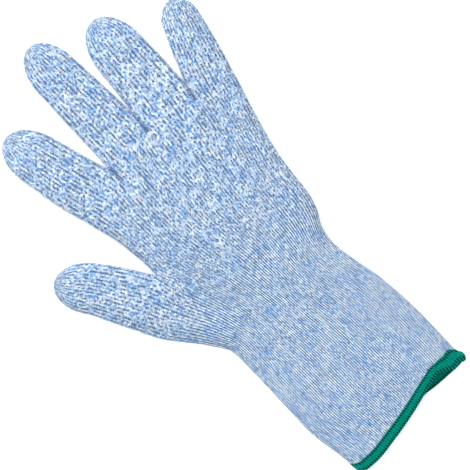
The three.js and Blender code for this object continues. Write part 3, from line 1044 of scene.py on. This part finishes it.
# ---------------------------------------------------------------- hem and elastic
def build_hem(material):
    """The overlocked edge: loops of yarn wrapped over the knit's raw edge, as one closed band."""
    columns = HEM_LOOPS * HEM_COLUMNS
    tallest = HEM_HEIGHT + HEM_EXTRA
    steps = np.linspace(0, tallest, HEM_STEPS)
    base = np.array([cuff_row(above, columns) for above in steps])
    out = normals(base)
    base[..., 2] += softness(base)
    around = np.arange(base.shape[1])
    phase = around / HEM_COLUMNS
    x = base[0, :, 0]
    front = around <= columns
    extra = HEM_EXTRA * front * smoothstep((x - TALL_FROM_X) / TALL_RISE)
    height = HEM_HEIGHT + extra * smoothstep((TALL_TO_X - x) / TALL_FALL)
    lip = np.linspace(0, math.pi, LIP_ROWS + 2)[1:-1]
    middle = (HEM_RISE - KNIT_THICKNESS - HEM_INSIDE_RISE) / 2
    half = HEM_RISE - middle
    section = [(share, HEM_RISE, 1) for share in np.linspace(1, LIP_SHARE, OUTSIDE_ROWS)]
    section += [(LIP_SHARE - LIP_SHARE * math.sin(a), middle + half * math.cos(a), 1) for a in lip]
    section += [(share, middle - half, -1) for share in np.linspace(LIP_SHARE, INSIDE_SHARE, INSIDE_ROWS)]
    rows, uv = [], []
    for share, off, side in section:
        above = share * height
        at = above / tallest * (len(steps) - 1)
        low = np.minimum(at.astype(int), len(steps) - 2)
        part = (at - low)[:, None]
        point = base[low, around] * (1 - part) + base[low + 1, around] * part
        normal = out[low, around] * (1 - part) + out[low + 1, around] * part
        slant = phase + HEM_SLANT * above * side
        wrap = np.abs(np.cos(math.pi * slant)) ** WRAP_ROUNDNESS
        depth = WRAP_DEPTH
        for at_share, width, dent in NEEDLE_DENTS:
            depth += dent * math.exp(-(((share - at_share) / width) ** 2))
        lipped = 1 - smoothstep((share - LIP_DENT) / LIP_FADE)
        depth += LIP_DEPTH * lipped
        edge = smoothstep((1 - share) / TOP_EDGE) if side > 0 else 1.0
        rise = (off - TOP_RISE) * edge + TOP_RISE if side > 0 else off
        moved = point + normal * (rise - side * (1 - wrap) * depth * edge)[:, None]
        moved[:, 1] += LIP_RISE * (1 - wrap) * lipped
        moved[:, 2] = np.maximum(moved[:, 2], HEM_LOWEST_Z)
        rows.append(moved)
        uv.append(np.stack([slant + 0.5, np.full(len(around), share * side)], axis=1))
    b = Builder()
    index = b.add(np.array(rows), np.array(uv)).reshape(len(rows), len(around))
    b.grid(index, inward=True)
    b.grid(index[[-1, 0]], inward=True)
    piece = add_piece("hem_wrap", b, material, ["hem_binding"])
    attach(piece, "cuff")


def build_elastics(material):
    """Rubber yarn covered in a spiral of thread, which draws the wrist in."""
    columns = WALES * ELASTIC_COLUMNS
    along = np.array([0.0, 1.0, 0.0])
    for number, y in enumerate(ELASTIC_Y, 1):
        base = np.array([cuff_row(y - CUFF_START_Y + shift, columns) for shift in (-1, 0, 1)])
        out = normals(base)[1]
        centre = base[1] - out * (KNIT_THICKNESS + ELASTIC_RADIUS + ELASTIC_GAP)
        count = len(centre)
        turns = np.arange(count) / ELASTIC_COLUMNS
        rows, uv = [], []
        for k in range(ELASTIC_SIDES + 1):
            angle = 2 * math.pi * k / ELASTIC_SIDES
            wrap = 1 + ELASTIC_WRAP * np.cos(2 * math.pi * np.arange(count) / ELASTIC_COLUMNS + angle)
            offset = out * math.cos(angle) + along * math.sin(angle)
            rows.append(centre + offset * (ELASTIC_RADIUS * wrap)[:, None])
            uv.append(np.stack([turns, np.full(count, k / ELASTIC_SIDES)], axis=1))
        b = Builder()
        index = b.add(np.array(rows), np.array(uv)).reshape(len(rows), count)
        b.grid(index)
        piece = add_piece(f"elastic_yarn_{number}", b, material, [f"wrist_elastic_{number}"])
        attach(piece, "cuff")


# ---------------------------------------------------------------- floor, light and camera
def build_stage():
    bpy.ops.mesh.primitive_plane_add(size=FLOOR_SIZE, location=(0, 0, 0))
    floor = bpy.context.object
    floor.name = "floor"
    floor.data.materials.append(floor_material())

    world = bpy.data.worlds.new("studio")
    bpy.context.scene.world = world
    world.use_nodes = True
    background = world.node_tree.nodes["Background"]
    background.inputs["Color"].default_value = (1.0, 1.0, 1.0, 1.0)
    background.inputs["Strength"].default_value = WORLD_STRENGTH

    for name, place, size, power in LAMPS:
        data = bpy.data.lights.new(name, "AREA")
        data.shape = "SQUARE"
        data.size = size
        data.energy = power
        lamp = bpy.data.objects.new(name, data)
        lamp.location = place
        lamp.rotation_euler = (-Vector(place)).to_track_quat("-Z", "Y").to_euler()
        bpy.context.collection.objects.link(lamp)

    data = bpy.data.cameras.new("camera")
    data.lens = CAMERA_LENS
    data.sensor_width = SENSOR
    data.clip_end = CLIP_END
    camera = bpy.data.objects.new("camera", data)
    distance = VIEW_WIDTH * MM * CAMERA_LENS / SENSOR
    camera.location = (VIEW_CENTRE[0] * MM, VIEW_CENTRE[1] * MM, distance)
    camera.rotation_euler = (0, 0, math.radians(VIEW_TURN))
    bpy.context.collection.objects.link(camera)
    bpy.context.scene.camera = camera
    bpy.context.scene.view_settings.view_transform = "Standard"


knit = build_knit(knit_material())
ride_knit(knit)
build_hem(hem_material())
build_elastics(elastic_material())
build_stage()
